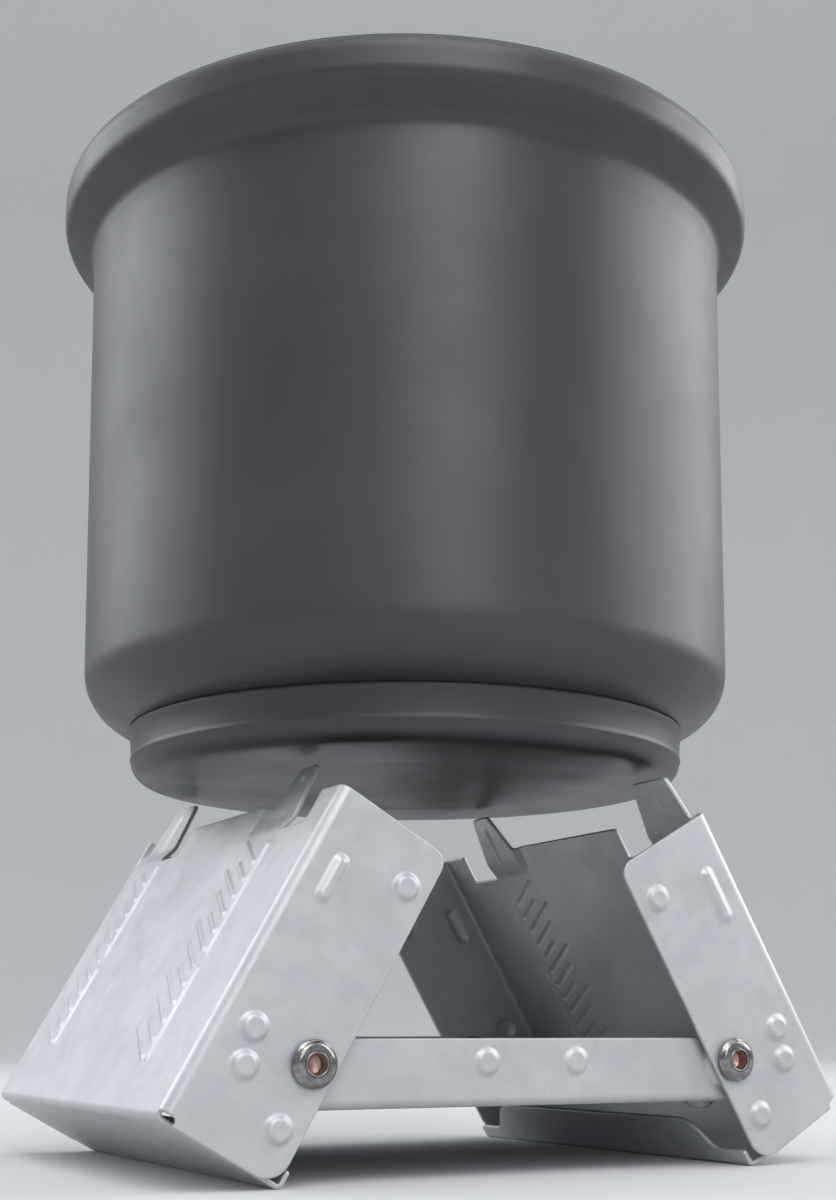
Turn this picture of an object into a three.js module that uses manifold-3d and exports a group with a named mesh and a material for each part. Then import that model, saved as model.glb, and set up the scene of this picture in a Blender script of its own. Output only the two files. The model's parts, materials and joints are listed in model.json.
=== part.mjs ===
// Folding pocket stove for solid-fuel tablets, with the pot that stands on it.
//
// Two identical sheet-steel wings turn on rivets at the two ends of a shallow tray. Spread
// open, they stand on their lower edges and carry a pot on their prongs; folded down flat,
// they close the tray into a box. Fuel tablets lie on the tray.
//
// Millimetres, +Z up. The origin is on the ground under the middle of the tray. X runs
// along the tray from wing to wing, and both hinge lines run along Y.
import * as THREE from 'three';
import { mergeVertices } from 'three/addons/utils/BufferGeometryUtils.js';
import Module from 'manifold-3d';

const wasm = await Module();
wasm.setup();

// Driving dimensions.
const SHEET = 0.7; // thickness of the steel sheet
const GAP = 0.3; // clearance between pieces that touch
const PIVOT_X = 33.35; // each hinge line's distance from the middle of the tray
const LEAN = THREE.MathUtils.degToRad(30); // how far an open wing leans over from upright

// A wing, in its own terms: height is measured up the wing from its lower end, and depth
// from the outside of its face towards the fire.
const WING_WIDTH = 77;
const WING_HEIGHT = 48.65;
const PIVOT_HEIGHT = 15.47;
const PIVOT_DEPTH = 14.44;
const FLANGE_DEPTH = 17.9;
const FACE_BEND = 1.5; // outer radius where the face turns into a flange
const FLANGE_TOP_ROUND = 2;
const FLANGE_FOOT_ROUND = 3.5;
const FOOT_DEPTH = 19; // the foot panel that closes the wing's lower end
const FOOT_BEND = 1;
const LIP_TAB_HEIGHT = 7.7; // the lip folded up along the foot panel's free edge
const LIP_END_HEIGHT = 2.8;
const LIP_HALF_WIDTH = 37.3;
const LIP_TAB_HALF_WIDTH = 27.2;
const LIP_STEP_WIDTH = 3.5;
const RELIEF = { height: 1.15, depth: 2.3 }; // notch where face, flange and foot panel meet

// Prongs, slots and beads of a wing, measured across it from its middle.
const SLOT_WIDTH = 8;
const SLOT_BOTTOM = 43.5;
const PRONG_TIP = 55.4;
const PRONG_CRANK = 1; // how far a prong steps inwards, to tuck under the other wing
const CRANK_RUN = 4; // height over which it does so
const PRONGS = [
  { slot: [-31.8, -23.8], foot: [-23.8, -13.3], tip: [-21, -16.2], rib: -18.2 },
  { slot: [16.2, 24.2], foot: [24.2, 36.2], tip: [26.6, 34.8], rib: 30.5 },
];
const RIB_LENGTH = 5.5;

// Dimples and beads that stiffen the flanges and hold the wings in their three positions.
const DIMPLE = { radius: 2.1, rise: 0.6 };
const TRAY_DIMPLE = { radius: 2.1, rise: 0.5 };
const DETENT_RADIUS = 9.25; // from the hinge line to each detent
const DETENT_TURNS = [0, 30, 90]; // an upright, a leaning and a folded wing, in degrees
const CLOSED_DIMPLE_X = 7.1; // where a folded wing catches on the tray, from its middle
const BEAD = { depth: 4.85, radius: 1.2, rise: 0.6 };
const BEAD_ENDS = [[33.4, 40.6], [32.8, 41.8]]; // one flange's bead is the longer

// The tray, with heights measured from the hinge lines.
const TRAY_HALF_WIDTH = 36.9;
const TRAY_TOP = 3.18;
const TRAY_UNDERSIDE = -5.91;
const TRAY_BEND = 1.3;
const TRAY_END_RADIUS = 12.2; // about the hinge line
const FLOOR_HALF_LENGTH = 39;
const BOSS = { radius: 4, rise: 0.6 }; // raised seat round each rivet
const FLOOR_DIMPLE = { radius: 2.8, rise: 1.3, x: 34.6, y: 28.6 };

// Semi-tubular rivets.
const RIVET_SHANK_RADIUS = 1.9;
const RIVET_HEAD = { radius: 3.2, rise: 1.1 };
const RIVET_ROLL = { radius: 3.1, rise: 1.05, hole: 1.4, holeDepth: 2.2 };
const RIVET_CLEARANCE = 0.3;

// Fuel tablets.
const TABLET = { length: 15, width: 24, height: 7.4, round: 2, bevel: 0.7, pitch: 16.5, count: 3 };

// The pot, with heights measured from the flat of its base.
const POT_WALL = 1.2;
const BASE_RING = { footRadius: 42.9, topRadius: 43.2, round: 2.4 };
const BODY = { radius: 50.2, corner: 8.8, cornerHeight: 16.5, neckHeight: 82.8 };
const RIM = { radius: 54.8, bandHeight: 87.7, widestHeight: 90.3, topHeight: 92.5, land: 0.6 };
const RIM_LEDGE_HEIGHT = 89.2;
const POT_SEGMENTS = 48;

// What follows from them. The foot panel's outer bend touches the ground.
const ARC_STEPS = 3;
const PIVOT_Z = (PIVOT_HEIGHT - FOOT_BEND) * Math.cos(LEAN)
  + (FOOT_DEPTH - FOOT_BEND - PIVOT_DEPTH) * Math.sin(LEAN) + FOOT_BEND;
const TIP_SWEEP = Math.hypot(PRONG_TIP - PIVOT_HEIGHT, PIVOT_DEPTH - PRONG_CRANK);
const POT_Z = PIVOT_Z + TIP_SWEEP + GAP;
const WING_SIDE = WING_WIDTH / 2;
const OVERCUT = 2;

const galvanised = { color: 0xc3c7cc, roughness: 0.42, metalness: 0.9 };
const nickel = { color: 0xd8d8d4, roughness: 0.18, metalness: 1 };
const hardAnodised = { color: 0x45464b, roughness: 0.5, metalness: 0.6 };
const fuel = { color: 0xe9e8e2, roughness: 0.85, metalness: 0 };

// ---------------------------------------------------------------- solids and placing

function toSolid(geometry) {
  geometry.deleteAttribute('normal');
  geometry.deleteAttribute('uv');
  const merged = mergeVertices(geometry, 1e-4);
  return new wasm.Manifold(new wasm.Mesh({
    numProp: 3,
    vertProperties: new Float32Array(merged.attributes.position.array),
    triVerts: new Uint32Array(merged.index.array),
  }));
}

function toMesh(name, solid, finish) {
  const { vertProperties, triVerts } = solid.getMesh();
  const geometry = new THREE.BufferGeometry();
  geometry.setAttribute('position', new THREE.BufferAttribute(vertProperties, 3));
  geometry.setIndex(new THREE.BufferAttribute(triVerts, 1));
  geometry.computeVertexNormals();
  const material = new THREE.MeshStandardMaterial({ ...finish, flatShading: true });
  const mesh = new THREE.Mesh(geometry, material);
  mesh.name = name;
  return mesh;
}

function extrude(shape, depth) {
  return new THREE.ExtrudeGeometry(shape, { depth, bevelEnabled: false, curveSegments: 6 });
}

// An outline drawn in X and Y, standing from one height to another.
function alongZ(shape, [from, to]) {
  return toSolid(extrude(shape, to - from).translate(0, 0, from));
}

// An outline drawn in X and Z, running from one Y to another.
function alongY(shape, [from, to]) {
  return toSolid(extrude(shape, to - from).rotateX(Math.PI / 2).translate(0, to, 0));
}

// An outline drawn in Y and Z, running from one X to another.
function alongX(shape, [from, to]) {
  const turned = extrude(shape, to - from).rotateX(Math.PI / 2).rotateZ(Math.PI / 2);
  return toSolid(turned.translate(from, 0, 0));
}

function box([x0, x1], [y0, y1], [z0, z1]) {
  const block = new THREE.BoxGeometry(x1 - x0, y1 - y0, z1 - z0);
  return toSolid(block.translate((x0 + x1) / 2, (y0 + y1) / 2, (z0 + z1) / 2));
}

function join(solids) {
  return solids.reduce((whole, next) => whole.add(next));
}

function cut(solid, tools) {
  return tools.reduce((rest, tool) => rest.subtract(tool), solid);
}

// ---------------------------------------------------------------- sheet metal

// The points along a path whose inner corners are rounded to the given radius.
function roundedPath(corners, radius) {
  const points = [corners[0]];
  for (let i = 1; i < corners.length - 1; i += 1) {
    const corner = corners[i];
    const back = corners[i - 1].clone().sub(corner).normalize();
    const on = corners[i + 1].clone().sub(corner).normalize();
    const centre = corner.clone().addScaledVector(back, radius).addScaledVector(on, radius);
    for (let k = 0; k <= ARC_STEPS; k += 1) {
      const turn = (Math.PI / 2) * (k / ARC_STEPS);
      points.push(centre.clone()
        .addScaledVector(on, -radius * Math.cos(turn))
        .addScaledVector(back, -radius * Math.sin(turn)));
    }
  }
  points.push(corners.at(-1));
  return points;
}

// The same path moved sideways by the sheet's thickness, to the left of its direction.
function insideOf(corners) {
  const side = corners.slice(1).map((corner, i) => {
    const run = corner.clone().sub(corners[i]).normalize();
    return new THREE.Vector2(-run.y, run.x).multiplyScalar(SHEET);
  });
  return corners.map((corner, i) => {
    const moved = corner.clone().add(side[Math.max(i - 1, 0)]);
    return i > 0 && i < side.length ? moved.add(side[i]) : moved;
  });
}

// Cross-section of a sheet bent square at each inner corner of a path.
function bentSheet(path, bend) {
  const corners = path.map(([x, y]) => new THREE.Vector2(x, y));
  const outside = roundedPath(corners, bend);
  const inside = roundedPath(insideOf(corners), bend - SHEET);
  return new THREE.Shape([...outside, ...inside.reverse()]);
}

// A round dimple that stands out along +Y from the sheet it is rooted in.
function dimple({ radius, rise }) {
  const steps = 3;
  const profile = [new THREE.Vector2(0, -SHEET / 2), new THREE.Vector2(radius, -SHEET / 2)];
  for (let k = 0; k < steps; k += 1) {
    const turn = (Math.PI / 2) * (k / steps);
    profile.push(new THREE.Vector2(radius * Math.cos(turn), rise * Math.sin(turn)));
  }
  profile.push(new THREE.Vector2(0, rise));
  return new THREE.LatheGeometry(profile, 12);
}

// The same dimple on a wall at the given Y, standing out away from the middle.
function wallDimple(kind, x, y, z) {
  const geometry = dimple(kind);
  if (y < 0) {
    geometry.rotateX(Math.PI);
  }
  return toSolid(geometry.translate(x, y, z));
}

// ---------------------------------------------------------------- wing

const onWing = (depth, height) => [depth - PIVOT_DEPTH, height - PIVOT_HEIGHT];
const wingX = (depth) => depth - PIVOT_DEPTH;
const wingZ = (height) => height - PIVOT_HEIGHT;

// Face and two flanges: one channel. The flanges run down past the ends of the foot panel.
function wingChannel() {
  const section = bentSheet([
    [wingX(FLANGE_DEPTH), WING_SIDE],
    [wingX(0), WING_SIDE],
    [wingX(0), -WING_SIDE],
    [wingX(FLANGE_DEPTH), -WING_SIDE],
  ], FACE_BEND);
  const channel = alongZ(section, [wingZ(0), wingZ(WING_HEIGHT)]);

  const outline = new THREE.Shape();
  outline.moveTo(...onWing(-OVERCUT, RELIEF.height));
  outline.lineTo(...onWing(RELIEF.depth, RELIEF.height));
  outline.lineTo(...onWing(RELIEF.depth, 0));
  outline.lineTo(...onWing(FLANGE_DEPTH - FLANGE_FOOT_ROUND, 0));
  outline.quadraticCurveTo(...onWing(FLANGE_DEPTH, 0),
    ...onWing(FLANGE_DEPTH, FLANGE_FOOT_ROUND));
  outline.lineTo(...onWing(FLANGE_DEPTH, WING_HEIGHT - FLANGE_TOP_ROUND));
  outline.quadraticCurveTo(...onWing(FLANGE_DEPTH, WING_HEIGHT),
    ...onWing(FLANGE_DEPTH - FLANGE_TOP_ROUND, WING_HEIGHT));
  outline.lineTo(...onWing(-OVERCUT, WING_HEIGHT));

  return channel.intersect(alongY(outline, [-WING_SIDE - OVERCUT, WING_SIDE + OVERCUT]));
}

// Foot panel and its lip, bent from the bottom of the face.
function wingFoot() {
  const end = WING_SIDE - SHEET - GAP;
  const fold = WING_SIDE - FACE_BEND;
  const strip = bentSheet([
    onWing(0, RELIEF.height + SHEET),
    onWing(0, 0),
    onWing(FOOT_DEPTH, 0),
    onWing(FOOT_DEPTH, LIP_TAB_HEIGHT),
  ], FOOT_BEND);
  const beyondFold = [[-end - OVERCUT, -fold], [fold, end + OVERCUT]].map((across) => box(
    [wingX(-OVERCUT), wingX(RELIEF.depth)], across, [wingZ(-OVERCUT), wingZ(LIP_TAB_HEIGHT)],
  ));
  const folded = cut(alongY(strip, [-end, end]), beyondFold);

  // The lip is tall in the middle and steps down to a low end on each side.
  const stepEnd = LIP_TAB_HALF_WIDTH + LIP_STEP_WIDTH;
  const stepMiddle = LIP_TAB_HALF_WIDTH + LIP_STEP_WIDTH / 2;
  const lip = new THREE.Shape();
  lip.moveTo(-LIP_HALF_WIDTH, wingZ(-OVERCUT));
  lip.lineTo(LIP_HALF_WIDTH, wingZ(-OVERCUT));
  lip.lineTo(LIP_HALF_WIDTH, wingZ(LIP_END_HEIGHT));
  lip.lineTo(stepEnd, wingZ(LIP_END_HEIGHT));
  lip.bezierCurveTo(stepMiddle, wingZ(LIP_END_HEIGHT), stepMiddle, wingZ(LIP_TAB_HEIGHT),
    LIP_TAB_HALF_WIDTH, wingZ(LIP_TAB_HEIGHT + GAP));
  lip.lineTo(-LIP_TAB_HALF_WIDTH, wingZ(LIP_TAB_HEIGHT + GAP));
  lip.bezierCurveTo(-stepMiddle, wingZ(LIP_TAB_HEIGHT), -stepMiddle, wingZ(LIP_END_HEIGHT),
    -stepEnd, wingZ(LIP_END_HEIGHT));
  lip.lineTo(-LIP_HALF_WIDTH, wingZ(LIP_END_HEIGHT));
  const lipDepths = [wingX(FOOT_DEPTH - FOOT_BEND), wingX(FOOT_DEPTH + OVERCUT)];
  const aroundLip = box(lipDepths, [-WING_SIDE - OVERCUT, WING_SIDE + OVERCUT],
    [wingZ(FOOT_BEND), wingZ(LIP_TAB_HEIGHT + OVERCUT)]).subtract(alongX(lip, lipDepths));

  return folded.subtract(aroundLip);
}

// One prong, cranked inwards above the slot's bottom, with its stiffening rib.
function wingProng({ foot, tip, rib }) {
  const root = SLOT_BOTTOM - SHEET;
  const crankTop = SLOT_BOTTOM + CRANK_RUN;
  const side = new THREE.Shape();
  side.moveTo(...onWing(0, root));
  side.lineTo(...onWing(0, SLOT_BOTTOM));
  side.lineTo(...onWing(PRONG_CRANK, crankTop));
  side.lineTo(...onWing(PRONG_CRANK, PRONG_TIP));
  side.lineTo(...onWing(PRONG_CRANK + SHEET, PRONG_TIP));
  side.lineTo(...onWing(PRONG_CRANK + SHEET, crankTop));
  side.lineTo(...onWing(SHEET, SLOT_BOTTOM));
  side.lineTo(...onWing(SHEET, root));

  const front = new THREE.Shape();
  front.moveTo(foot[0], wingZ(root));
  front.lineTo(foot[1], wingZ(root));
  front.lineTo(foot[1], wingZ(WING_HEIGHT));
  front.lineTo(tip[1], wingZ(PRONG_TIP));
  front.lineTo(tip[0], wingZ(PRONG_TIP));
  front.lineTo(foot[0], wingZ(SLOT_BOTTOM));

  const blank = alongY(side, foot);
  const outline = alongX(front, [wingX(-OVERCUT), wingX(2 * OVERCUT)]);
  const bead = new THREE.CapsuleGeometry(BEAD.radius, RIB_LENGTH, 2, 8).rotateX(Math.PI / 2);
  bead.scale(BEAD.rise, 1, 1);
  bead.translate(wingX(PRONG_CRANK + SHEET), rib, wingZ(crankTop + RIB_LENGTH / 2));
  return blank.intersect(outline).add(toSolid(bead));
}

// Dimples, beads and rivet holes of both flanges.
function wingFlangeBeads() {
  return [-WING_SIDE, WING_SIDE].flatMap((y, flange) => {
    const detents = DETENT_TURNS.map((degrees) => {
      const turn = THREE.MathUtils.degToRad(degrees);
      return wallDimple(DIMPLE, -DETENT_RADIUS * Math.cos(turn), y,
        -DETENT_RADIUS * Math.sin(turn));
    });
    const closed = wallDimple(DIMPLE, 0, y, PIVOT_X - CLOSED_DIMPLE_X);
    const [bottom, top] = BEAD_ENDS[flange];
    const length = top - bottom - 2 * BEAD.radius;
    const bead = new THREE.CapsuleGeometry(BEAD.radius, length, 2, 8).rotateX(Math.PI / 2);
    bead.scale(1, BEAD.rise / BEAD.radius, 1);
    bead.translate(wingX(BEAD.depth), y, wingZ((top + bottom) / 2));
    return [...detents, closed, toSolid(bead)];
  });
}

function rivetHole() {
  const radius = RIVET_SHANK_RADIUS + RIVET_CLEARANCE;
  return toSolid(new THREE.CylinderGeometry(radius, radius, WING_WIDTH + OVERCUT, 20));
}

// A whole wing, standing upright with its hinge line along Y through the origin.
function wingSolid() {
  const openings = PRONGS.flatMap(({ slot, foot }) => [slot, foot]).map((across) => box(
    [wingX(-OVERCUT), wingX(OVERCUT)], across, [wingZ(SLOT_BOTTOM), wingZ(PRONG_TIP)],
  ));
  const sheet = join([cut(wingChannel(), openings), wingFoot(), ...PRONGS.map(wingProng)]);
  return join([sheet, ...wingFlangeBeads()]).subtract(rivetHole());
}

// ---------------------------------------------------------------- tray

// A shallow channel whose walls run out past the floor and round off about each hinge line.
function traySolid() {
  const halfLength = PIVOT_X + TRAY_END_RADIUS;
  const section = bentSheet([
    [-TRAY_HALF_WIDTH, TRAY_TOP],
    [-TRAY_HALF_WIDTH, TRAY_UNDERSIDE],
    [TRAY_HALF_WIDTH, TRAY_UNDERSIDE],
    [TRAY_HALF_WIDTH, TRAY_TOP],
  ], TRAY_BEND);
  const inner = TRAY_HALF_WIDTH - SHEET;
  const heights = [TRAY_UNDERSIDE - OVERCUT, TRAY_TOP + OVERCUT];
  const floorEnds = [
    box([FLOOR_HALF_LENGTH, halfLength + OVERCUT], [-inner, inner], heights),
    box([-halfLength - OVERCUT, -FLOOR_HALF_LENGTH], [-inner, inner], heights),
  ];
  const outline = new THREE.Shape();
  outline.absarc(PIVOT_X, 0, TRAY_END_RADIUS, -Math.PI / 2, Math.PI / 2, false);
  outline.absarc(-PIVOT_X, 0, TRAY_END_RADIUS, Math.PI / 2, 1.5 * Math.PI, false);
  const channel = cut(alongX(section, [-halfLength, halfLength]), floorEnds)
    .intersect(alongY(outline, [-WING_SIDE, WING_SIDE]));

  const wallDimples = [-TRAY_HALF_WIDTH, TRAY_HALF_WIDTH].flatMap((y) => (
    [CLOSED_DIMPLE_X, PIVOT_X + DETENT_RADIUS].flatMap((x) => (
      [-x, x].map((at) => wallDimple(TRAY_DIMPLE, at, y, 0))
    ))
  ));
  const bosses = [-1, 1].flatMap((side) => [-PIVOT_X, PIVOT_X].map((x) => {
    const boss = new THREE.CylinderGeometry(BOSS.radius, BOSS.radius, BOSS.rise + SHEET / 2, 20);
    return toSolid(boss.translate(x, side * (TRAY_HALF_WIDTH + BOSS.rise / 2 - SHEET / 4), 0));
  }));
  const floorDimples = [-1, 1].flatMap((side) => [-FLOOR_DIMPLE.x, FLOOR_DIMPLE.x].map((x) => (
    toSolid(dimple(FLOOR_DIMPLE).rotateX(-Math.PI / 2)
      .translate(x, side * FLOOR_DIMPLE.y, TRAY_UNDERSIDE))
  )));
  const holes = [-PIVOT_X, PIVOT_X].map((x) => rivetHole().translate([x, 0, 0]));
  return cut(join([channel, ...wallDimples, ...bosses, ...floorDimples]), holes);
}

// ---------------------------------------------------------------- rivets, fuel and pot

// A rivet along +Y: domed head inside the tray wall, hollow end rolled over outside the wing.
function rivetSolid() {
  const headBase = TRAY_HALF_WIDTH - SHEET - RIVET_CLEARANCE;
  const rollBase = WING_SIDE + RIVET_CLEARANCE;
  const head = new THREE.EllipseCurve(0, headBase, RIVET_HEAD.radius, RIVET_HEAD.rise,
    -Math.PI / 2, 0).getPoints(3);
  const crest = (RIVET_ROLL.radius + RIVET_ROLL.hole) / 2;
  const roll = new THREE.EllipseCurve(crest, rollBase, RIVET_ROLL.radius - crest,
    RIVET_ROLL.rise, 0, Math.PI).getPoints(5);
  const profile = [
    ...head,
    new THREE.Vector2(RIVET_SHANK_RADIUS, headBase),
    new THREE.Vector2(RIVET_SHANK_RADIUS, rollBase),
    ...roll,
    new THREE.Vector2(RIVET_ROLL.hole, rollBase - RIVET_ROLL.holeDepth),
    new THREE.Vector2(0, rollBase - RIVET_ROLL.holeDepth),
  ];
  return toSolid(new THREE.LatheGeometry(profile, 16));
}

function tabletSolid() {
  const { length, width, height, round, bevel } = TABLET;
  const x = length / 2 - bevel;
  const y = width / 2 - bevel;
  const plan = new THREE.Shape();
  plan.absarc(x - round, y - round, round, 0, Math.PI / 2, false);
  plan.absarc(-x + round, y - round, round, Math.PI / 2, Math.PI, false);
  plan.absarc(-x + round, -y + round, round, Math.PI, 1.5 * Math.PI, false);
  plan.absarc(x - round, -y + round, round, 1.5 * Math.PI, 2 * Math.PI, false);
  const block = new THREE.ExtrudeGeometry(plan, {
    depth: height - 2 * bevel,
    bevelThickness: bevel,
    bevelSize: bevel,
    bevelSegments: 1,
    curveSegments: 3,
  });
  return toSolid(block.translate(0, 0, bevel));
}

function arc(x, y, rx, ry, from, to, steps) {
  const curve = new THREE.EllipseCurve(x, y, rx, ry, from, to, to < from);
  return curve.getPoints(steps);
}

// A spun pot: base ring, rounded corner, straight wall, and a rim flared out and turned up.
function potSolid() {
  const { footRadius, topRadius, round } = BASE_RING;
  const cornerX = BODY.radius - BODY.corner;
  const ringMeetsBody = (radius, corner) => (
    -Math.acos((radius - cornerX) / corner)
  );
  const inside = BODY.corner - POT_WALL;
  const flareRadius = RIM.radius - BODY.radius;
  const rimInside = RIM.radius - POT_WALL;
  const outline = [
    new THREE.Vector2(0, 0),
    ...arc(footRadius - round, round, round, round, -Math.PI / 2, 0, 3),
    ...arc(cornerX, BODY.cornerHeight, BODY.corner, BODY.corner,
      ringMeetsBody(topRadius, BODY.corner), 0, 6),
    ...arc(BODY.radius + flareRadius, BODY.neckHeight, flareRadius,
      RIM.bandHeight - BODY.neckHeight, Math.PI, Math.PI * 0.6, 4),
    new THREE.Vector2(RIM.radius - POT_WALL / 4, RIM.bandHeight),
    new THREE.Vector2(RIM.radius, RIM.widestHeight),
    new THREE.Vector2(RIM.radius - POT_WALL / 2 + RIM.land / 2, RIM.topHeight),
    new THREE.Vector2(RIM.radius - POT_WALL / 2 - RIM.land / 2, RIM.topHeight),
    new THREE.Vector2(rimInside, RIM.widestHeight),
    new THREE.Vector2(rimInside, RIM_LEDGE_HEIGHT),
    new THREE.Vector2(BODY.radius + POT_WALL, RIM_LEDGE_HEIGHT),
    new THREE.Vector2(BODY.radius - POT_WALL / 2, RIM_LEDGE_HEIGHT - POT_WALL),
    new THREE.Vector2(BODY.radius - POT_WALL, RIM_LEDGE_HEIGHT - 3 * POT_WALL),
    ...arc(cornerX, BODY.cornerHeight, inside, inside,
      0, ringMeetsBody(topRadius - POT_WALL, inside), 5),
    new THREE.Vector2(footRadius - POT_WALL, round),
    new THREE.Vector2(footRadius - round, POT_WALL),
    new THREE.Vector2(0, POT_WALL),
  ];
  return toSolid(new THREE.LatheGeometry(outline, POT_SEGMENTS).rotateX(Math.PI / 2));
}

// ---------------------------------------------------------------- assembly

const stove = new THREE.Group();

const tray = toMesh('base_tray', traySolid(), galvanised);
tray.position.z = PIVOT_Z;
stove.add(tray);

// The second wing is the first one turned half round the stove's upright axis.
const wing = wingSolid();
for (const [name, half] of [['left_wing', 0], ['right_wing', Math.PI]]) {
  const side = new THREE.Group();
  side.rotation.z = half;
  const mesh = toMesh(name, wing, galvanised);
  mesh.position.set(-PIVOT_X, 0, PIVOT_Z);
  mesh.rotation.y = LEAN;
  side.add(mesh);
  stove.add(side);
}

const rivet = rivetSolid();
const rivetPlaces = [
  ['front_left_rivet', -PIVOT_X, Math.PI],
  ['front_right_rivet', PIVOT_X, Math.PI],
  ['rear_left_rivet', -PIVOT_X, 0],
  ['rear_right_rivet', PIVOT_X, 0],
];
for (const [name, x, turn] of rivetPlaces) {
  const mesh = toMesh(name, rivet, nickel);
  mesh.position.set(x, 0, PIVOT_Z);
  mesh.rotation.z = turn;
  stove.add(mesh);
}

const tablet = tabletSolid();
for (let i = 0; i < TABLET.count; i += 1) {
  const mesh = toMesh(`fuel_tablet_${i + 1}`, tablet, fuel);
  mesh.position.x = (i - (TABLET.count - 1) / 2) * TABLET.pitch;
  mesh.position.z = PIVOT_Z + TRAY_UNDERSIDE + SHEET + GAP;
  stove.add(mesh);
}

const pot = toMesh('pot', potSolid(), hardAnodised);
pot.position.z = POT_Z;
stove.add(pot);

export default stove;
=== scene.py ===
# A folding pocket stove for solid-fuel tablets, with a spun pot on its prongs.
#
# The steel pieces are made as the real ones are: a flat blank with its outline and holes, a
# height for whatever is pressed into it, and a rule that bends the blank to shape.
import json
import math
import random

import bpy
import numpy as np
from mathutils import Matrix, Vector
from mathutils.geometry import delaunay_2d_cdt


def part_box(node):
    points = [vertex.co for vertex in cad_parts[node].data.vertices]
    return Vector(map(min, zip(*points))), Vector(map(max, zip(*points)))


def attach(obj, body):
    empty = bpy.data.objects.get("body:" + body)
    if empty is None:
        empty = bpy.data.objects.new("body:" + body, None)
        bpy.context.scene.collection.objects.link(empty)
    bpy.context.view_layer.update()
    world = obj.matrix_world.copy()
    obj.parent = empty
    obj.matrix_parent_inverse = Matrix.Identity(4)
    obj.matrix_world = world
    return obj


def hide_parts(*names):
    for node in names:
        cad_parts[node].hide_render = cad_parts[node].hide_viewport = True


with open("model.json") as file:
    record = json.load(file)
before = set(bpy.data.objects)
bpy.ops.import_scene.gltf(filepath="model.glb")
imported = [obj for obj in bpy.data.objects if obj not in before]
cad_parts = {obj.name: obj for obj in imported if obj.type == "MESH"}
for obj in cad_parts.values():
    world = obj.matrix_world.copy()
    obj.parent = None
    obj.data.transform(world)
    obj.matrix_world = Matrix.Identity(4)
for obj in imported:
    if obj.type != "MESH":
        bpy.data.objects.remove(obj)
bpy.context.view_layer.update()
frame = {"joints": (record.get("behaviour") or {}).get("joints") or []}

random.seed(7)

# ------------------------------------------------------------------ sizes, in millimetres

MM = 0.001
SHEET = 0.7
EDGE_BREAK = 0.13  # rounding of a sheared edge

# A wing. Heights run up it from its lower end, and depths from its face towards the fire.
LEAN = math.radians(30)
WING_SIDE = 38.5
WING_HEIGHT = 48.65
PIVOT_HEIGHT = 15.47
PIVOT_DEPTH = 14.44
FLANGE_DEPTH = 17.9
FACE_BEND = 1.5
FOOT_DEPTH = 19.0
FOOT_BEND = 1.0
FOOT_SIDE = 37.5
LIP_TAB_HEIGHT = 7.7
LIP_END_HEIGHT = 2.8
LIP_SIDE = 37.3
LIP_TAB_SIDE = 27.2
LIP_STEP = 3.5
RELIEF_TOP = 1.15
RELIEF_DEPTH = 2.3
SLOT_BOTTOM = 43.5
SLOT_OUTER = -31.8
SLOT_INNER = 16.2
PRONG_TIP = 55.4
PRONG_CRANK = 1.0
CRANK_TOP = 47.5
PRONG_ONE = {"foot": (-23.8, -13.3), "tip": (-21.0, -16.2), "rib": -18.4, "blend": 1.2}
PRONG_TWO = {"foot": (24.2, 36.2), "tip": (26.6, 34.8), "rib": 30.5, "blend": 0.7}
PRONG_BLEND = 2.5  # how softly the face follows a cranked prong, beside its slot
PRONG_RIB = {"low": 45.0, "high": 52.8, "half_width": 1.0, "depth": 0.4}
DETENT_RADIUS = 9.25
DETENT_TURNS = [math.radians(a) for a in (0, 30, 90)]
CLOSED_DIMPLE = 26.25
FLANGE_BEAD = {"depth": 4.85, "half_width": 1.2, "rise": 0.6, -1: (34.6, 39.4), 1: (34.0, 40.6)}
DIMPLE = {"radius": 2.15, "rise": 0.66, "shoulder": 1.0, "dish": 0.09}

# Bands of plain ribs on a wing's face: middle line, reach, ends and spacing of each.
RIB_BANDS = ((-16.5, 4.4, 8.0, 41.0, 2.75), (28.4, 3.0, 10.0, 42.0, 2.9))
RIB_LENGTHS = (2.0, 1.2, 1.6)  # in turn, as parts of the band's reach
RIB_SLOPE = 0.55
RIB_HALF_WIDTH = 0.5
RIB_RISE = 0.27
BAND_LINE = 1.8  # from a band's edge to the line beside it
BAND_LINE_GAP = (0.4, 0.48)  # where that line is broken, as parts of its length

# The tray. Heights run from the hinge lines.
TRAY_SIDE = 36.9
TRAY_TOP = 3.18
TRAY_UNDERSIDE = -5.91
TRAY_BEND = 1.3
TRAY_END_RADIUS = 12.2
FLOOR_END = 39.0
CLOSED_DIMPLE_X = 7.1
TRAY_DIMPLE_RISE = 0.5
FLOOR_DIMPLE = {"x": 34.6, "y": 28.6, "radius": 2.8, "rise": 1.3, "shoulder": 1.6}
BOSS = {"radius": 4.1, "rise": 0.6, "shoulder": 0.9}

RIVET_HOLE = 2.2
RIVET_SHANK = 1.9
RIVET_TURNS = 96

POT_WALL = 1.2
POT_TURNS = 288
BASE_DARK_EDGE = (0.9, 2.6)  # heights between which the base's dark tint fades

TABLET = {"corner": 2.4, "bevel": 1.0, "corner_steps": 12, "crumble": 0.05, "shrink": 0.995}
TABLET_SCORE = {"depth": 0.7, "half_width": 0.7}

# Where the hinge lines and the pot's base are, from the frame.
hinges = [joint for joint in frame["joints"] if joint["type"] == "hinge"]
pivots = {joint["child"]: [v / MM for v in joint["pos_m"]] for joint in hinges}
PIVOT_X, _, PIVOT_Z = pivots["right_wing"]
POT_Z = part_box("pot")[0].z / MM

# ------------------------------------------------------------------ nodes for the finishes


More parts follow.
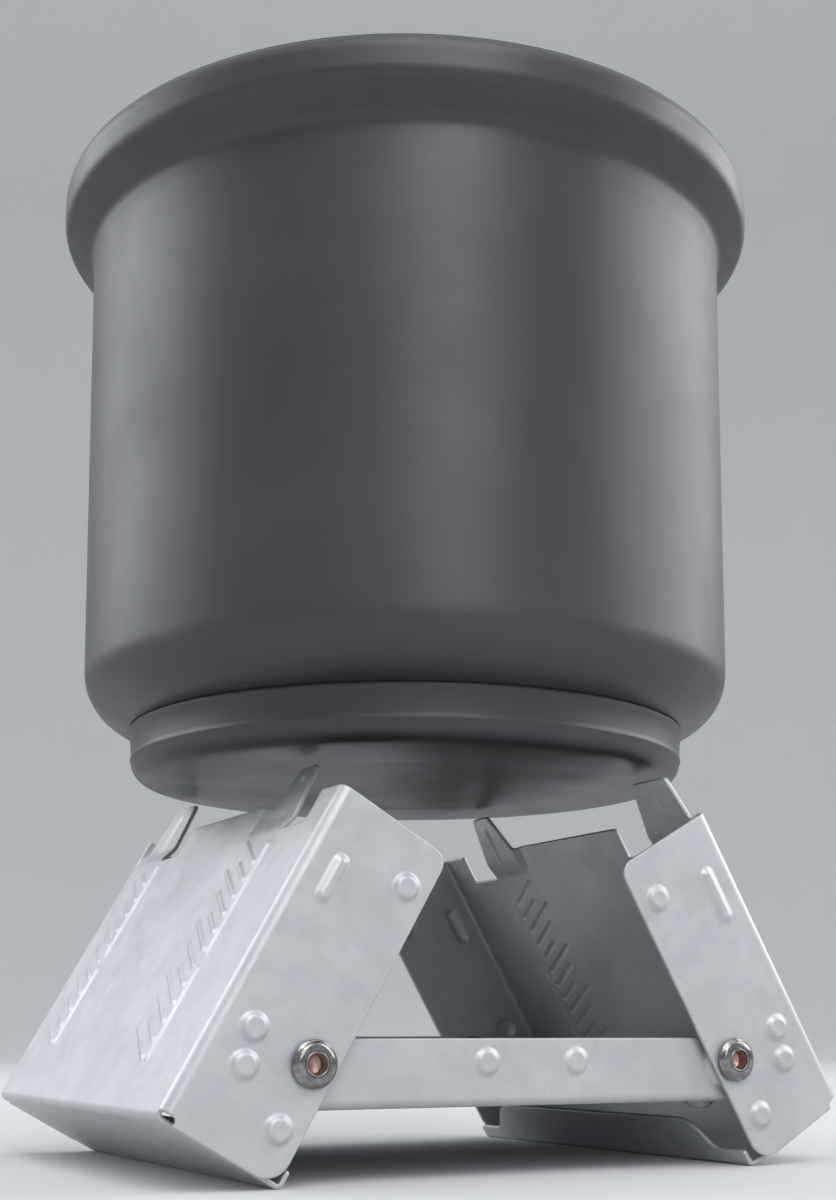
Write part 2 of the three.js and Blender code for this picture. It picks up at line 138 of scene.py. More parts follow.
class Finish:
    """A material, and the few kinds of node that its finish is mixed from."""

    def __init__(self, name, **values):
        self.material = bpy.data.materials.new(name)
        self.material.use_nodes = True
        self.tree = self.material.node_tree
        self.shader = self.tree.nodes["Principled BSDF"]
        for socket, value in values.items():
            self.shader.inputs[socket.replace("_", " ")].default_value = value
        self.place = self.node("ShaderNodeTexCoord").outputs["Object"]

    def node(self, kind, **settings):
        made = self.tree.nodes.new(kind)
        for key, value in settings.items():
            setattr(made, key, value)
        return made

    def link(self, source, node, socket):
        self.tree.links.new(source, node.inputs[socket])

    def stretched(self, scale):
        mapping = self.node("ShaderNodeMapping")
        mapping.inputs["Scale"].default_value = scale
        self.link(self.place, mapping, "Vector")
        return mapping.outputs["Vector"]

    def noise(self, scale, detail=3.0, rough=0.55, vector=None, warp=0.0):
        made = self.node("ShaderNodeTexNoise")
        made.inputs["Scale"].default_value = scale
        made.inputs["Detail"].default_value = detail
        made.inputs["Roughness"].default_value = rough
        made.inputs["Distortion"].default_value = warp
        self.link(vector or self.place, made, "Vector")
        return made.outputs["Fac"]

    def cells(self, scale):
        """Cells that each have a colour of their own."""
        made = self.node("ShaderNodeTexVoronoi", feature="F1")
        made.inputs["Scale"].default_value = scale
        self.link(self.place, made, "Vector")
        return made.outputs["Color"]

    def ranged(self, value, low, high, to_low=0.0, to_high=1.0):
        made = self.node("ShaderNodeMapRange", interpolation_type="SMOOTHSTEP")
        ends = {"From Min": low, "From Max": high, "To Min": to_low, "To Max": to_high}
        for socket, number in ends.items():
            made.inputs[socket].default_value = number
        self.link(value, made, "Value")
        return made.outputs["Result"]

    def math(self, kind, a, b):
        made = self.node("ShaderNodeMath", operation=kind)
        for i, value in enumerate((a, b)):
            if isinstance(value, (int, float)):
                made.inputs[i].default_value = value
            else:
                self.link(value, made, i)
        return made.outputs[0]

    def mixed(self, amount, a, b, kind="MIX"):
        made = self.node("ShaderNodeMix", data_type="RGBA", blend_type=kind)
        if isinstance(amount, (int, float)):
            made.inputs["Factor"].default_value = amount
        else:
            self.link(amount, made, "Factor")
        for i, colour in ((6, a), (7, b)):
            if isinstance(colour, tuple):
                made.inputs[i].default_value = (*colour, 1)
            else:
                self.link(colour, made, i)
        return made.outputs[2]

    def height(self):
        """Height above the floor at rest, in metres."""
        made = self.node("ShaderNodeSeparateXYZ")
        self.link(self.place, made, 0)
        return made.outputs["Z"]

    def bump(self, height, depth, strength=1.0):
        """Adds relief of the given depth in metres on top of what is there."""
        made = self.node("ShaderNodeBump")
        made.inputs["Strength"].default_value = strength
        made.inputs["Distance"].default_value = depth
        self.link(height, made, "Height")
        socket = self.shader.inputs["Normal"]
        if socket.is_linked:
            self.tree.links.new(socket.links[0].from_socket, made.inputs["Normal"])
        self.tree.links.new(made.outputs["Normal"], socket)

    def colour(self, output):
        self.link(output, self.shader, "Base Color")

    def roughness(self, output):
        self.link(output, self.shader, "Roughness")


def galvanised_finish():
    f = Finish("galvanised_sheet", Metallic=0.42, Specular_IOR_Level=0.5)
    clouds = f.ranged(f.noise(70, 4, 0.6, warp=0.4), 0.3, 0.7)
    spangle = f.ranged(f.cells(420), 0.2, 0.8)
    grain = f.noise(900, 3, 0.6, f.stretched((1, 0.06, 1)))
    base = f.mixed(clouds, (0.485, 0.5, 0.518), (0.53, 0.545, 0.563))
    base = f.mixed(0.028, base, spangle, "OVERLAY")
    marks = f.ranged(f.noise(240, 5, 0.7, warp=1.2), 0.62, 0.8, 0, 0.12)
    f.colour(f.mixed(marks, base, (0.42, 0.43, 0.44)))
    patches = f.ranged(f.noise(160, 4), 0.3, 0.75, 0.36, 0.48)
    f.roughness(f.math("ADD", patches, f.math("MULTIPLY", grain, 0.06)))
    f.bump(f.noise(45, 3, 0.5), 0.00008, 0.5)
    f.bump(grain, 0.000012, 0.6)
    f.bump(f.noise(1500, 2, 0.6), 0.000012, 0.6)
    return f.material


def anodised_finish():
    f = Finish("hard_anodised_aluminium", Metallic=0.55, Specular_IOR_Level=0.5)
    clouds = f.ranged(f.noise(22, 4, 0.6, warp=0.5), 0.3, 0.72)
    rings = f.noise(1, 2, 0.5, f.stretched((3, 3, 1400)))
    base = f.mixed(clouds, (0.054, 0.0545, 0.06), (0.066, 0.0665, 0.072))
    specks = f.ranged(f.noise(2600, 2, 0.6), 0.6, 0.85, 0, 0.25)
    base = f.mixed(specks, base, (0.085, 0.086, 0.09))
    # Towards the bottom of the pot the colour goes almost black, fading out between these two
    # heights above its base.
    edge = f.math("ADD", f.height(), f.math("MULTIPLY", f.noise(90, 4, 0.6), 0.0012))
    low, high = ((POT_Z + above) * MM for above in BASE_DARK_EDGE)
    tint = f.ranged(edge, low, high, 0.8, 0)
    f.colour(f.mixed(tint, base, (0.016, 0.016, 0.018)))
    patches = f.ranged(f.noise(60, 4), 0.3, 0.75, 0.36, 0.44)
    f.roughness(f.math("ADD", patches, f.math("MULTIPLY", rings, 0.05)))
    f.bump(rings, 0.00002, 0.5)
    f.bump(f.noise(3200, 2, 0.7), 0.000014, 0.5)
    return f.material


def nickel_finish():
    f = Finish("rivet_nickel", Metallic=1.0)
    wear = f.ranged(f.noise(900, 4, 0.6), 0.35, 0.7)
    f.colour(f.mixed(wear, (0.2, 0.195, 0.19), (0.34, 0.335, 0.33)))
    f.roughness(f.ranged(f.noise(1400, 4), 0.3, 0.7, 0.12, 0.24))
    f.bump(f.noise(2200, 3, 0.6), 0.00002, 0.5)
    return f.material


def copper_finish():
    f = Finish("rivet_bore", Metallic=0.9)
    wear = f.ranged(f.noise(1200, 4, 0.6), 0.35, 0.7)
    f.colour(f.mixed(wear, (0.4, 0.27, 0.23), (0.56, 0.4, 0.35)))
    f.roughness(f.ranged(f.noise(1400, 4), 0.3, 0.7, 0.34, 0.5))
    f.bump(f.noise(2600, 3, 0.6), 0.00003, 0.6)
    return f.material


def fuel_finish():
    f = Finish("pressed_fuel", Specular_IOR_Level=0.35)
    crumbs = f.noise(1500, 6, 0.75)
    pits_with_painted_shade = f.ranged(f.noise(620, 3, 0.6, warp=0.6), 0.3, 0.45)
    pressed = f.mixed(crumbs, (0.76, 0.75, 0.71), (0.87, 0.865, 0.84))
    # The pits are coloured darker than the pressed face: painted shade in the recesses, on top of
    # their bump.
    f.colour(f.mixed(pits_with_painted_shade, (0.62, 0.61, 0.57), pressed))
    f.roughness(f.ranged(crumbs, 0.3, 0.7, 0.72, 0.95))
    f.bump(pits_with_painted_shade, 0.00022, 0.6)
    f.bump(crumbs, 0.00012, 0.7)
    return f.material


def stage_finish():
    f = Finish("studio_paper", Specular_IOR_Level=0.1)
    f.colour(f.mixed(f.noise(3, 3), (0.57, 0.574, 0.581), (0.6, 0.603, 0.61)))
    f.roughness(f.ranged(f.noise(220, 3), 0.3, 0.7, 0.8, 0.92))
    f.bump(f.noise(900, 3), 0.00008, 0.3)
    return f.material


# ------------------------------------------------------------------ flat blanks

def loop(corners, step=0.4):
    """A closed outline of (s, t, radius) corners, rounded and sampled about every step."""
    points = []
    count = len(corners)
    for i in range(count):
        before, here, after = (np.array(corners[(i + k) % count][:2], float) for k in (-1, 0, 1))
        radius = corners[i][2]
        if radius <= 0:
            points.append(here)
            continue
        back = (before - here) / np.linalg.norm(before - here)
        on = (after - here) / np.linalg.norm(after - here)
        half = math.acos(np.clip(back @ on, -1, 1)) / 2
        centre = here + (back + on) / np.linalg.norm(back + on) * radius / math.sin(half)
        start = here + back * radius / math.tan(half) - centre
        sweep = math.pi - 2 * half
        turn = -1 if back[0] * on[1] - back[1] * on[0] > 0 else 1
        pieces = max(2, math.ceil(sweep * radius / step), math.ceil(sweep / math.radians(18)))
        for k in range(pieces + 1):
            c, s = math.cos(turn * sweep * k / pieces), math.sin(turn * sweep * k / pieces)
            points.append(centre + (c * start[0] - s * start[1], s * start[0] + c * start[1]))
    dense = []
    for a, b in zip(points, points[1:] + points[:1]):
        pieces = max(1, math.ceil(np.linalg.norm(b - a) / step))
        dense.extend(a + (b - a) * k / pieces for k in range(pieces))
    return np.array(dense)


def circle(s, t, radius, count=56):
    """A round hole, wound the other way from an outline."""
    angles = -np.arange(count) * 2 * math.pi / count
    return np.c_[s + radius * np.cos(angles), t + radius * np.sin(angles)]


def inset(points, distance):
    """The loop moved to its left, into the sheet."""
    on = np.roll(points, -1, axis=0) - points
    on /= np.linalg.norm(on, axis=1)[:, None]
    back = np.roll(on, 1, axis=0)
    normal = np.c_[-(on + back)[:, 1], (on + back)[:, 0]]
    normal /= np.linalg.norm(normal, axis=1)[:, None]
    lean = np.abs(normal[:, 0] * -on[:, 1] + normal[:, 1] * on[:, 0])
    return points + normal * (distance / np.maximum(lean, 0.6))[:, None]


def inside(points, loops):
    """Which points lie on the sheet, by counting crossings of all the loops."""
    odd = np.zeros(len(points), bool)
    for ring in loops:
        a, b = ring, np.roll(ring, -1, axis=0)
        slope = (b[:, 0] - a[:, 0]) / np.where(b[:, 1] == a[:, 1], 1, b[:, 1] - a[:, 1])
        for k in range(0, len(points), 4000):
            s, t = points[k:k + 4000, :1], points[k:k + 4000, 1:]
            spans = (a[:, 1] > t) != (b[:, 1] > t)
            odd[k:k + 4000] ^= (spans & (s < a[:, 0] + (t - a[:, 1]) * slope)).sum(1) % 2 == 1
    return odd


def clear_of(points, others, gap):
    """The points that keep a gap to all the others."""
    keep = np.ones(len(points), bool)
    for k in range(0, len(points), 1000):
        away = points[k:k + 1000, None] - others[None]
        keep[k:k + 1000] = (away ** 2).sum(2).min(1) > gap ** 2
    return points[keep]


def grid(s_range, t_range, step):
    s = np.linspace(*s_range, max(2, round((s_range[1] - s_range[0]) / step) + 1))
    t = np.linspace(*t_range, max(2, round((t_range[1] - t_range[0]) / step) + 1))
    return np.stack(np.meshgrid(s, t), -1).reshape(-1, 2)


def blank_points(extent, step, fine):
    """A coarse grid over the blank, with finer ones wherever the sheet is bent or pressed."""
    points = grid(*extent, step)
    for s_range, t_range, fine_step in fine:
        covered = ((points[:, 0] > s_range[0] - 0.1) & (points[:, 0] < s_range[1] + 0.1)
                   & (points[:, 1] > t_range[0] - 0.1) & (points[:, 1] < t_range[1] + 0.1))
        points = np.vstack([points[~covered], grid(s_range, t_range, fine_step)])
    return points


# ------------------------------------------------------------------ pressed features

def smooth(x):
    x = np.clip(x, 0, 1)
    return x * x * (3 - 2 * x)


def button(s, t, at, radius=DIMPLE["radius"], rise=DIMPLE["rise"], shoulder=DIMPLE["shoulder"]):
    """A round dimple with a soft shoulder and a slightly dished crown."""
    r = np.hypot(s - at[0], t - at[1])
    crown = DIMPLE["dish"] * smooth(1 - r / (radius - shoulder))
    return rise * smooth((radius - r) / shoulder) - crown


def bead(s, t, start, end, half_width, rise):
    """A round-ended raised bead from start to end."""
    run = np.subtract(end, start)
    along = np.clip(((s - start[0]) * run[0] + (t - start[1]) * run[1]) / (run @ run), 0, 1)
    d = np.hypot(s - start[0] - along * run[0], t - start[1] - along * run[1])
    return rise * smooth(1.15 - d / half_width)


# ------------------------------------------------------------------ bending

def across(s, side, bend):
    """Bends a sheet's two long sides up: rise, sideways place, and the outward normal."""
    flat = side - bend
    a = np.abs(s)
    turn = np.clip((a - flat) / bend, 0, math.pi / 2)
    wall = np.maximum(a - flat - bend * math.pi / 2, 0)
    rise = bend * (1 - np.cos(turn)) + wall
    place = np.where(a < flat, a, flat + bend * np.sin(turn)) * np.sign(s)
    return rise, place, -np.cos(turn), np.sin(turn) * np.sign(s)


def s_at(rise, side, bend):
    """How far out on the blank a point on a bent-up side is."""
    return side - 2 * bend + bend * math.pi / 2 + rise


FOOT_FOLD = FOOT_BEND - FOOT_BEND * math.pi / 2  # where the foot panel's flat begins
FOOT_FLAT = FOOT_DEPTH - 2 * FOOT_BEND
LIP_FOLD = FOOT_FOLD - FOOT_FLAT


def on_foot(depth):
    return FOOT_FOLD - (depth - FOOT_BEND)


def on_lip(height):
    return LIP_FOLD - FOOT_BEND * math.pi / 2 - (height - FOOT_BEND)


def wing_fold(p):
    """Blank to bent wing: (depth, y, height) and the outward normal of each point."""
    s, t = p[:, 0], p[:, 1]
    depth, y, n_depth, n_y = across(s, WING_SIDE, FACE_BEND)
    turn = np.clip((FOOT_BEND - t) / FOOT_BEND, 0, math.pi / 2)
    run = np.clip(FOOT_FOLD - t, 0, FOOT_FLAT)
    lip_turn = np.clip((LIP_FOLD - t) / FOOT_BEND, 0, math.pi / 2)
    lip = np.maximum(LIP_FOLD - FOOT_BEND * math.pi / 2 - t, 0)
    foot = (t < FOOT_BEND) & (np.abs(s) < FOOT_SIDE + 0.1)
    foot_depth = FOOT_BEND * (1 - np.cos(turn)) + run + FOOT_BEND * np.sin(lip_turn)
    foot_height = FOOT_BEND * (1 - np.sin(turn)) + FOOT_BEND * (1 - np.cos(lip_turn)) + lip
    n_foot = np.sin(lip_turn) - np.cos(turn) * np.cos(lip_turn)
    n_down = -np.sin(turn) * np.cos(lip_turn)
    place = [(foot_depth, depth), (s, y), (foot_height, t)]
    normal = [(n_foot, n_depth), (0, n_y), (n_down, 0)]
    return tuple(np.stack([np.where(foot, a, b) for a, b in pairs], 1)
                 for pairs in (place, normal))


def tray_fold(p):
    """Blank to bent tray: s runs across it and t along it."""
    rise, y, n_rise, n_y = across(p[:, 0], TRAY_SIDE, TRAY_BEND)
    return np.c_[p[:, 1], y, TRAY_UNDERSIDE + rise], np.c_[np.zeros(len(p)), n_y, n_rise]


def bent_sheet(loops, points, press, fold):
    """A closed sheet-metal mesh: both skins, with the sheared edges broken all round."""
    rims = [inset(ring, EDGE_BREAK) for ring in loops]
    guards = [inset(ring, 2.6 * EDGE_BREAK) for ring in loops]
    edge_points = np.vstack(loops + rims)
    guard_points = np.vstack(guards)
    guard_points = clear_of(guard_points[inside(guard_points, rims)], edge_points, 0.12)
    fixed = np.vstack([edge_points, guard_points])
    points = clear_of(points[inside(points, rims)], fixed, 0.17)
    edges, start = [], 0
    for ring in loops + rims:
        n = len(ring)
        edges.extend((start + k, start + (k + 1) % n) for k in range(n))
        start += n
    vertices = [Vector(v) for v in np.vstack([fixed, points])]
    flat, _, faces, _, _, _ = delaunay_2d_cdt(vertices, edges, [], 0, 1e-5, False)
    flat = np.array([tuple(v) for v in flat])
    faces = np.array(faces)
    faces = faces[inside(flat[faces].mean(1), loops)]
    one, two = flat[faces[:, 1]] - flat[faces[:, 0]], flat[faces[:, 2]] - flat[faces[:, 0]]
    area = one[:, 0] * two[:, 1] - one[:, 1] * two[:, 0]
    faces[area < 0] = faces[area < 0][:, ::-1]
    used, faces = np.unique(faces, return_inverse=True)
    flat, faces = flat[used], faces.reshape(-1, 3)

    sides = np.vstack([faces[:, [0, 1]], faces[:, [1, 2]], faces[:, [2, 0]]]).tolist()
    known = set(map(tuple, sides))
    border = np.array([e for e in sides if (e[1], e[0]) not in known])
    broken = np.zeros(len(flat))
    broken[border.ravel()] = EDGE_BREAK * 0.8

    place, normal = fold(flat)
    height = press(flat[:, 0], flat[:, 1])
    outer = place + normal * (height - broken)[:, None]
    inner = place + normal * (height - SHEET + broken)[:, None]
    n = len(flat)
    walls = np.c_[border[:, 1], border[:, 0], border[:, 0] + n, border[:, 1] + n]
    skins = faces.tolist() + (faces[:, ::-1] + n).tolist()
    return np.vstack([outer, inner]), skins + walls.tolist()


def to_object(name, vertices, faces, materials, sharp=58):
    """A mesh object in metres from vertices in millimetres, facing out, shaded smooth."""
    mesh = bpy.data.meshes.new(name)
    mesh.from_pydata((np.asarray(vertices) * MM).tolist(), [], faces)
    mesh.validate()
    mesh.update()
    if sum(f.area * f.center.dot(f.normal) for f in mesh.polygons) < 0:
        mesh.flip_normals()
    mesh.shade_smooth()
    mesh.set_sharp_from_angle(angle=math.radians(sharp))
    for material in materials:
        mesh.materials.append(material)
    piece = bpy.data.objects.new(name, mesh)
    bpy.context.scene.collection.objects.link(piece)
    return piece


def settle(piece, body, nodes):
    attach(piece, body)
    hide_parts(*nodes)


# ------------------------------------------------------------------ the two wings

def on_flange(side, depth):
    return side * s_at(depth, WING_SIDE, FACE_BEND)


def wing_outline():
    """The wing's blank, anticlockwise from the end of the lip's tall tab."""
    root = s_at(RELIEF_DEPTH, WING_SIDE, FACE_BEND)
    edge = s_at(FLANGE_DEPTH, WING_SIDE, FACE_BEND)
    fold = WING_SIDE - FACE_BEND
    right = [
        (LIP_TAB_SIDE, on_lip(LIP_TAB_HEIGHT), 5.5),
        (LIP_TAB_SIDE + LIP_STEP, on_lip(LIP_END_HEIGHT), 2.6),
        (LIP_SIDE, on_lip(LIP_END_HEIGHT), 0.5),
        (LIP_SIDE, LIP_FOLD, 0),
        (FOOT_SIDE, LIP_FOLD + 0.4, 0.3),
        (FOOT_SIDE, on_foot(RELIEF_DEPTH), 0.25),
        (fold, on_foot(RELIEF_DEPTH), 0.15),
        (fold, RELIEF_TOP, 0.4),
        (root, RELIEF_TOP, 0.7),
        (root, 0, 0.2),
        (edge, 0, 3.5),
        (edge, WING_HEIGHT, 2.2),
    ]
    top = [
        (PRONG_TWO["foot"][1], WING_HEIGHT, 0.5),
        (PRONG_TWO["tip"][1], PRONG_TIP, 0.7),
        (PRONG_TWO["tip"][0], PRONG_TIP, 0.7),
        (PRONG_TWO["foot"][0], SLOT_BOTTOM, 0.3),
        (SLOT_INNER, SLOT_BOTTOM, 0.3),
        (SLOT_INNER, WING_HEIGHT, 0.6),
        (PRONG_ONE["foot"][1], WING_HEIGHT, 1.2),
        (PRONG_ONE["tip"][1], PRONG_TIP, 0.7),
        (PRONG_ONE["tip"][0], PRONG_TIP, 0.7),
        (PRONG_ONE["foot"][0], SLOT_BOTTOM, 0.3),
        (SLOT_OUTER, SLOT_BOTTOM, 0.3),
        (SLOT_OUTER, WING_HEIGHT, 0.6),
    ]
    return loop(right + top + [(-s, t, r) for s, t, r in reversed(right)])


def face_strokes():
    """Plain pressed ribs in two bands up the face, slanted alike, with a long line beside them."""
    strokes = []
    for row, reach, start, end, pitch in RIB_BANDS:
        for k in range(int((end - start) / pitch)):
            t = start + k * pitch
            length = reach * RIB_LENGTHS[k % len(RIB_LENGTHS)]
            strokes.append(((row - reach, t), (row - reach + length, t + RIB_SLOPE * length)))
        line = row - reach - BAND_LINE
        broken, resumed = (start + (end - start) * part for part in BAND_LINE_GAP)
        strokes.append(((line, start), (line, broken)))
        strokes.append(((line, resumed), (line, end)))
    return strokes


STROKES = face_strokes()


def flange_dimples(side):
    places = [(on_flange(side, PIVOT_DEPTH - DETENT_RADIUS * math.cos(turn)),
               PIVOT_HEIGHT - DETENT_RADIUS * math.sin(turn)) for turn in DETENT_TURNS]
    return places + [(on_flange(side, PIVOT_DEPTH), PIVOT_HEIGHT + CLOSED_DIMPLE)]


def wing_press(s, t):
    """How far the sheet is pressed outwards, everywhere on the wing's blank."""
    h = np.zeros_like(s)
    for side in (-1, 1):
        for at in flange_dimples(side):
            h += button(s, t, at)
        line = on_flange(side, FLANGE_BEAD["depth"])
        low, high = FLANGE_BEAD[side]
        h += bead(s, t, (line, low), (line, high), FLANGE_BEAD["half_width"], FLANGE_BEAD["rise"])
    pressed = np.zeros_like(s)
    for start, end in STROKES:
        pressed = np.maximum(pressed, bead(s, t, start, end, RIB_HALF_WIDTH, RIB_RISE))
    h += pressed
    for prong in (PRONG_ONE, PRONG_TWO):
        (low, high), blend = prong["foot"], prong["blend"]
        mask = smooth((s - low + 2) / PRONG_BLEND) * smooth((high + blend - s) / blend)
        h -= PRONG_CRANK * mask * smooth((t - SLOT_BOTTOM + 0.3) / (CRANK_TOP - SLOT_BOTTOM))
        ends = [(prong["rib"], PRONG_RIB[end]) for end in ("low", "high")]
        h -= bead(s, t, *ends, PRONG_RIB["half_width"], PRONG_RIB["depth"])
    return h


def about(middle, reach):
    """The range of that reach to both sides of a point or of a stretch."""
    low, high = middle if isinstance(middle, tuple) else (middle, middle)
    return low - reach, high + reach


def wing_points():
    edge = s_at(FLANGE_DEPTH, WING_SIDE, FACE_BEND)
    fold = WING_SIDE - FACE_BEND
    fine = [((-FOOT_SIDE, FOOT_SIDE), (FOOT_FOLD - 0.2, FOOT_BEND + 0.2), 0.3),
            ((-FOOT_SIDE, FOOT_SIDE), (LIP_FOLD - FOOT_BEND * 1.8, LIP_FOLD + 0.2), 0.3)]
    for (s0, t0), (s1, t1) in STROKES:
        s_reach, t_reach = (min(s0, s1), max(s0, s1)), (min(t0, t1), max(t0, t1))
        fine.append((about(s_reach, 1), about(t_reach, 1), 0.26))
    for side in (-1, 1):
        bend = sorted((side * (fold - 0.3), side * (fold + 2.7)))
        fine.append((bend, (0, WING_HEIGHT), 0.3))
        for s, t in flange_dimples(side):
            fine.append((about(s, 2.6), about(t, 2.6), 0.24))
        line = on_flange(side, FLANGE_BEAD["depth"])
        fine.append((about(line, 1.8), about(FLANGE_BEAD[side], 1.8), 0.24))
    for prong in (PRONG_ONE, PRONG_TWO):
        low, high = prong["foot"]
        fine.append(((low - 0.2, high + 2), (SLOT_BOTTOM - 0.7, PRONG_TIP), 0.32))
    return blank_points(((-edge, edge), (on_lip(LIP_TAB_HEIGHT), PRONG_TIP)), 0.9, fine)


def make_wings(material):
    holes = [circle(on_flange(side, PIVOT_DEPTH), PIVOT_HEIGHT, RIVET_HOLE) for side in (-1, 1)]
    vertices, faces = bent_sheet([wing_outline(), *holes], wing_points(), wing_press, wing_fold)
    x = vertices[:, 0] - PIVOT_DEPTH
    y = vertices[:, 1]
    z = vertices[:, 2] - PIVOT_HEIGHT
    c, s = math.cos(LEAN), math.sin(LEAN)
    placed = np.c_[-PIVOT_X + x * c + z * s, y, PIVOT_Z - x * s + z * c]
    for name, way in (("left_wing", 1), ("right_wing", -1)):
        piece = to_object(f"{name}_sheet", placed * (way, way, 1), faces, [material])
        settle(piece, name, [name])


# ------------------------------------------------------------------ the tray

def tray_outline():
    """The tray's blank, whose walls run out past the floor and round off about each hinge."""
    hinge = s_at(-TRAY_UNDERSIDE, TRAY_SIDE, TRAY_BEND)
    top = s_at(TRAY_TOP - TRAY_UNDERSIDE, TRAY_SIDE, TRAY_BEND)
    inner = TRAY_SIDE - TRAY_BEND + 0.6
    places = np.linspace(inner + 0.8, top - 0.9, 7)
    reach = lambda s: PIVOT_X + math.sqrt(TRAY_END_RADIUS ** 2 - (s - hinge) ** 2)
    quarter = [(inner, FLOOR_END, 0.5), (inner, reach(inner + 0.3) - 0.2, 0.4)]
    quarter += [(s, reach(s), 0) for s in places] + [(top, reach(top), 0.5)]
    corner = [(s, -t, r) for s, t, r in quarter] + [(s, t, r) for s, t, r in reversed(quarter)]
    return loop(corner + [(-s, t, r) for s, t, r in reversed(corner)])


def tray_dimples():
    hinge = s_at(-TRAY_UNDERSIDE, TRAY_SIDE, TRAY_BEND)
    lines = (-PIVOT_X - DETENT_RADIUS, -CLOSED_DIMPLE_X, CLOSED_DIMPLE_X, PIVOT_X + DETENT_RADIUS)
    return [(side * hinge, x) for side in (-1, 1) for x in lines]


def tray_seats():
    hinge = s_at(-TRAY_UNDERSIDE, TRAY_SIDE, TRAY_BEND)
    return [(side * hinge, end * PIVOT_X) for side in (-1, 1) for end in (-1, 1)]


def floor_dimples():
    y, x = FLOOR_DIMPLE["y"], FLOOR_DIMPLE["x"]
    return [(side * y, end * x) for side in (-1, 1) for end in (-1, 1)]


def tray_press(s, t):
    h = np.zeros_like(s)
    for at in tray_dimples():
        h += button(s, t, at, rise=TRAY_DIMPLE_RISE)
    for at in tray_seats():
        r = np.hypot(s - at[0], t - at[1])
        h += BOSS["rise"] * smooth((BOSS["radius"] - r) / BOSS["shoulder"])
    for at in floor_dimples():
        h += button(s, t, at, *(FLOOR_DIMPLE[key] for key in ("radius", "rise", "shoulder")))
    return h


def tray_points():
    top = s_at(TRAY_TOP - TRAY_UNDERSIDE, TRAY_SIDE, TRAY_BEND)
    end = PIVOT_X + TRAY_END_RADIUS
    fold = TRAY_SIDE - TRAY_BEND
    fine = [(about(side, 1.2), (-end, end), 0.3) for side in (-fold - 1, fold + 1)]
    fine += [(about(s, 2.6), about(t, 2.6), 0.24) for s, t in tray_dimples()]
    fine += [(about(s, 4.4), about(t, 4.4), 0.3) for s, t in tray_seats()]
    fine += [(about(s, 3.2), about(t, 3.2), 0.28) for s, t in floor_dimples()]
    return blank_points(((-top, top), (-end, end)), 1.0, fine)


def make_tray(material):
    holes = [circle(*at, RIVET_HOLE) for at in tray_seats()]
    vertices, faces = bent_sheet([tray_outline(), *holes], tray_points(), tray_press, tray_fold)
    piece = to_object("base_tray_sheet", vertices + (0, 0, PIVOT_Z), faces, [material])
    settle(piece, "base", ["base_tray"])


# ------------------------------------------------------------------ turned pieces

def arc(x, z, rx, rz, start, end, steps):
    angles = np.radians(np.linspace(start, end, steps + 1))
    return [(x + rx * math.cos(a), z + rz * math.sin(a)) for a in angles]


def lathe(profile, turns):
    """A surface of revolution about Z whose profile starts and ends on the axis."""
    inner = [p for p in profile if p[0] > 1e-6]
    angles = np.arange(turns) * 2 * math.pi / turns
    ring = np.c_[np.cos(angles), np.sin(angles)]
    vertices = [np.c_[ring * r, np.full(turns, z)] for r, z in inner]
    vertices = np.vstack(vertices + [np.array([[0, 0, profile[0][1]], [0, 0, profile[-1][1]]])])
    faces = []
    for k in range(len(inner) - 1):
        for i in range(turns):
            j = (i + 1) % turns
            faces.append((k * turns + i, k * turns + j, (k + 1) * turns + j, (k + 1) * turns + i))
    first, last = len(inner) * turns, len(inner) * turns + 1
    end = (len(inner) - 1) * turns
    for i in range(turns):
        j = (i + 1) % turns
        faces.append((first, j, i))
        faces.append((last, end + i, end + j))
    return vertices, faces


